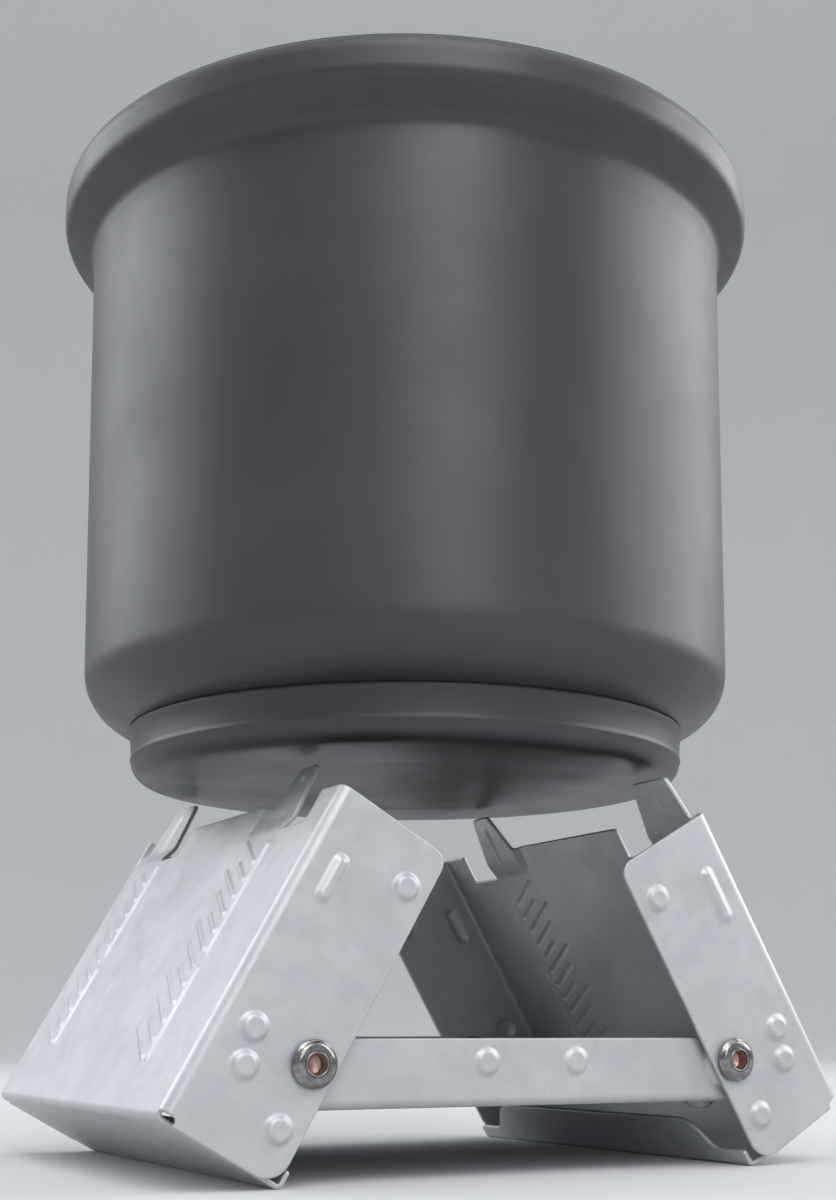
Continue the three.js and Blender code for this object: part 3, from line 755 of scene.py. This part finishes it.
def pot_profile():
    """The spun pot, from the middle of its base out and up, over the rim and down inside."""
    ring_foot, ring_top, ring_height = 42.9, 43.2, 7.9
    body, corner, corner_height = 50.2, 8.8, 16.5
    neck, rim, band, widest, top = 82.2, 54.8, 87.7, 90.3, 92.5
    step, step_in, step_out = 0.25, 24, 26.4  # the shallow step in the middle of the base
    corner_x = body - corner
    outside = [(0, step), (step_in, step), (25.2, 0.12), (step_out, 0), (38.5, 0)]
    outside += arc(ring_foot - 2.9, 2.8, 2.9, 2.8, -78, -10, 10)
    # The base ring's side has a fine ridge low down and another near its top.
    low_ridge = ((0.06, 2.75), (0.16, 2.95), (0.17, 3.15), (0.06, 3.4), (0.04, 3.8), (0.1, 5.0))
    high_ridge = ((-0.04, 6.8), (0.12, 7.3), (0.14, 7.55), (0.02, 7.8), (-0.3, ring_height + 0.02))
    outside += [(ring_foot + out, z) for out, z in low_ridge]
    outside += [(ring_top + out, z) for out, z in high_ridge]
    outside += arc(corner_x, corner_height, corner, corner, -79.5, -1, 26)
    outside += [(body, corner_height + 0.6)]
    outside += [(body, z) for z in np.linspace(corner_height + 3, neck - 1.5, 24)]
    outside += arc(body + 3.0, neck - 0.4, 3.0, 3.0, 180, 130, 12)
    outside += arc(rim - 2.6, band + 0.5, 2.6, 2.6, -50, 0, 12)
    outside += arc(rim - 0.95, widest, 0.95, top - widest, -6, 72, 10)
    lip = rim - 0.75
    outside += arc(lip, top - 0.3, 0.3, 0.3, 70, 110, 4)
    wall = body - POT_WALL
    within = arc(rim - 0.4, widest, 0.8, top - widest - 0.2, 118, 180, 6)
    within += arc(rim - 2.2, band + 2.5, 1.0, 1.0, 0, -80, 6)
    within += [(body + 1.6, band + 1.45)]
    within += arc(body + 1.2, neck + 1.4, 2.4, 4.8, 100, 178, 10)
    within += [(wall, z) for z in np.linspace(neck - 1, corner_height + 2, 16)]
    within += arc(corner_x, corner_height, corner - POT_WALL, corner - POT_WALL, 0, -78, 16)
    within += [(ring_top - 1.4, 8.6), (ring_foot - 1.3, 7.4), (ring_foot - 1.4, 4.2)]
    within += arc(ring_foot - 3.6, 3.4, 2.2, 2.2, -4, -84, 8)
    within += [(30, POT_WALL), (step_out, POT_WALL)]
    within += [(step_in, POT_WALL + step), (0, POT_WALL + step)]
    return outside + within


def make_pot(material):
    vertices, faces = lathe(pot_profile(), POT_TURNS)
    piece = to_object("spun_pot", vertices + (0, 0, POT_Z), faces, [material], sharp=40)
    settle(piece, "pot", ["pot"])


def rivet_profiles():
    """Head, shank and rolled end along +Z from the tray's middle, then the bore."""
    head = TRAY_SIDE - SHEET - 0.3  # the head's seat, inside the tray's wall
    roll = WING_SIDE + 0.22  # where the rolled end starts, outside the wing's flange
    bore_radius = 1.28
    outside = [(0, head - 1.1)] + arc(0, head - 0.25, 3.2, 0.85, -82, 0, 12)
    outside += [(3.2, head), (RIVET_SHANK, head), (RIVET_SHANK, roll)]
    outside += [(2.9, roll)] + arc(2.55, roll + 0.32, 0.58, 0.3, -60, 60, 6)
    outside += arc(1.75, roll + 0.42, 1.2, 0.72, 40, 92, 8)
    outside += [(1.66, roll + 1.02), (1.62, roll + 1.1)]
    outside += arc(1.5, roll + 1.12, 0.14, 0.1, 20, 165, 6)
    outside += [(1.32, roll + 0.95), (bore_radius, roll + 0.1)]
    bore = [(1.2, roll - 0.55), (0.7, roll - 0.9), (0, roll - 1.05)]
    return outside, bore


def make_rivets(nickel, copper):
    outside, bore = rivet_profiles()
    vertices, faces = lathe(outside + bore, RIVET_TURNS)
    bore_from = (len(outside) - 3) * RIVET_TURNS  # the first vertex of the bore's colour
    for name, x, side in (("front_left_rivet", -PIVOT_X, -1), ("front_right_rivet", PIVOT_X, -1),
                          ("rear_left_rivet", -PIVOT_X, 1), ("rear_right_rivet", PIVOT_X, 1)):
        placed = np.c_[vertices[:, 0] * side + x, vertices[:, 2] * side, vertices[:, 1] + PIVOT_Z]
        piece = to_object(f"{name}_turned", placed, faces, [nickel, copper], sharp=45)
        for face in piece.data.polygons:
            if min(face.vertices) >= bore_from:
                face.material_index = 1
        settle(piece, "base", [name])


# ------------------------------------------------------------------ fuel tablets

def tablet_rings(half):
    """Closed loops of one tablet's surface, from the middle of its underside up and over."""
    corner, bevel = TABLET["corner"], TABLET["bevel"]
    low = [(-half[2], bevel)]
    low += [(-half[2] + bevel * (1 - math.cos(a)), bevel * (1 - math.sin(a)))
            for a in np.linspace(0.25, math.pi / 2, 5)]
    sides = np.linspace(-half[2] + bevel * 1.4, half[2] - bevel * 1.4, 5)
    levels = low + [(z, 0) for z in sides] + [(-z, draw) for z, draw in reversed(low)]
    rings = []
    for z, draw in levels:
        ring = []
        for sx, sy, start in ((1, 1, 0), (-1, 1, 90), (-1, -1, 180), (1, -1, 270)):
            cx, cy = sx * (half[0] - corner), sy * (half[1] - corner)
            radius = corner - draw
            turn = arc(0, 0, radius, radius, start, start + 90, TABLET["corner_steps"])
            ring += [(cx + a, cy + b, z) for a, b in turn]
        rings.append(ring)
    for shrink in (0.93, 0.8, 0.6, 0.35, 0.1):
        rings.append([(x * shrink, y * shrink, half[2]) for x, y, _ in rings[len(levels) - 1]])
    for shrink in (0.93, 0.5, 0.1):
        rings.insert(0, [(x * shrink, y * shrink, -half[2]) for x, y, _ in rings[0]])
    return rings


def make_tablets(material):
    """Pressed blocks with rounded corners, a scored line across, and slightly crumbled edges."""
    for k in (1, 2, 3):
        low, high = (np.array(v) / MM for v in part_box(f"fuel_tablet_{k}"))
        middle, half = (low + high) / 2, (high - low) / 2
        rings = tablet_rings(half)
        count = len(rings[0])
        vertices = np.array(rings).reshape(-1, 3)
        across_score = np.exp(-(vertices[:, 1] / TABLET_SCORE["half_width"]) ** 2)
        near_top = smooth((vertices[:, 2] - half[2] + 0.6) / 0.5)
        vertices[:, 2] -= TABLET_SCORE["depth"] * across_score * near_top
        crumble = TABLET["crumble"]
        wobble = [random.uniform(-crumble, crumble) for _ in range(vertices.size)]
        vertices = vertices * TABLET["shrink"] + np.array(wobble).reshape(-1, 3)
        faces = [tuple(range(count))[::-1]]
        for r in range(len(rings) - 1):
            here, above = r * count, (r + 1) * count
            for i in range(count):
                j = (i + 1) % count
                faces.append((here + i, here + j, above + j, above + i))
        faces.append(tuple((len(rings) - 1) * count + i for i in range(count)))
        name = f"fuel_tablet_{k}"
        piece = to_object(f"{name}_pressed", vertices + middle, faces, [material], sharp=50)
        settle(piece, "base", [name])


# ------------------------------------------------------------------ stage, light and camera

STAGE_FLAT = 900.0  # radius of the flat floor
STAGE_SWEEP = 1300.0  # radius of the curve from the floor to the wall
STAGE_TOP = 2100.0
STAGE_TURNS = 96


def make_stage(material):
    """A round pale floor that curves up into a wall all the way round."""
    profile = [(0, 0)] + [(r, 0) for r in np.linspace(50, STAGE_FLAT, 12)]
    profile += arc(STAGE_FLAT, STAGE_SWEEP, STAGE_SWEEP, STAGE_SWEEP, -88.5, 0, 60)
    profile += [(STAGE_FLAT + STAGE_SWEEP, STAGE_TOP)]
    vertices, faces = lathe(profile, STAGE_TURNS)
    last = len(vertices) - 1  # the point that would close the top
    faces = [f for f in faces if last not in f]
    mesh = bpy.data.meshes.new("studio_floor")
    mesh.from_pydata((vertices[:last] * MM).tolist(), [], faces)
    mesh.update()
    mesh.shade_smooth()
    mesh.materials.append(material)
    floor = bpy.data.objects.new("studio_floor", mesh)
    bpy.context.scene.collection.objects.link(floor)


LAMP_SPREAD = math.radians(120)
LAMP_TARGET = (0, 0, 0.08)
LAMPS = [
    # name, azimuth, distance, height, (width, height), watts, colour
    ("left_softbox", -131, 0.8, 0.46, (0.75, 0.56), 1.75, (0.95, 0.98, 1.0)),
    ("right_softbox", 78, 0.85, 0.48, (0.95, 0.6), 2.75, (0.98, 0.98, 1.0)),
    ("front_softbox", -11, 0.85, 0.46, (0.34, 0.56), 0.7, (1, 1, 1)),
    ("top_softbox", -18, 0.7, 0.9, (0.7, 0.6), 1.8, (1, 1, 1)),
]
SKY_COLOUR = (0.92, 0.95, 1.0, 1)
SKY_STRENGTH = 1.15


def softbox(name, place, size, power, colour):
    data = bpy.data.lights.new(name, "AREA")
    data.shape = "RECTANGLE"
    data.size, data.size_y = size
    data.energy = power
    data.spread = LAMP_SPREAD
    data.color = colour
    lamp = bpy.data.objects.new(name, data)
    bpy.context.scene.collection.objects.link(lamp)
    lamp.visible_camera = False
    lamp.location = Vector(place)
    view = Vector(LAMP_TARGET) - Vector(place)
    lamp.rotation_euler = view.to_track_quat("-Z", "Y").to_euler()


# Lamps and camera are placed in metres.
CAMERA_PLACE = (-0.11922, -0.22538, 0.01943)
CAMERA_YAW = math.radians(28.33)
CAMERA_PITCH = math.radians(6.7)
CAMERA_LENS = 48.8
CAMERA_SHIFT = 0.2


def make_camera():
    data = bpy.data.cameras.new("camera")
    data.lens = CAMERA_LENS
    data.sensor_width = 36
    data.shift_y = CAMERA_SHIFT
    data.clip_start = 0.01
    camera = bpy.data.objects.new("camera", data)
    bpy.context.scene.collection.objects.link(camera)
    camera.location = CAMERA_PLACE
    camera.rotation_euler = (math.pi / 2 + CAMERA_PITCH, 0, -CAMERA_YAW)
    bpy.context.scene.camera = camera


def around(azimuth, distance, height):
    """A place round the stove: azimuth 0 is in front of it, and 90 to its right."""
    a = math.radians(azimuth)
    return (distance * math.sin(a), -distance * math.cos(a), height)


def make_lights():
    for name, azimuth, distance, height, size, power, colour in LAMPS:
        softbox(name, around(azimuth, distance, height), size, power, colour)
    world = bpy.data.worlds.new("studio")
    bpy.context.scene.world = world
    world.use_nodes = True
    sky = world.node_tree.nodes["Background"].inputs
    sky["Color"].default_value = SKY_COLOUR
    sky["Strength"].default_value = SKY_STRENGTH


galvanised = galvanised_finish()
make_wings(galvanised)
make_tray(galvanised)
make_rivets(nickel_finish(), copper_finish())
make_tablets(fuel_finish())
make_pot(anodised_finish())
make_stage(stage_finish())
make_camera()
make_lights()
bpy.context.scene.view_settings.view_transform = "Standard"
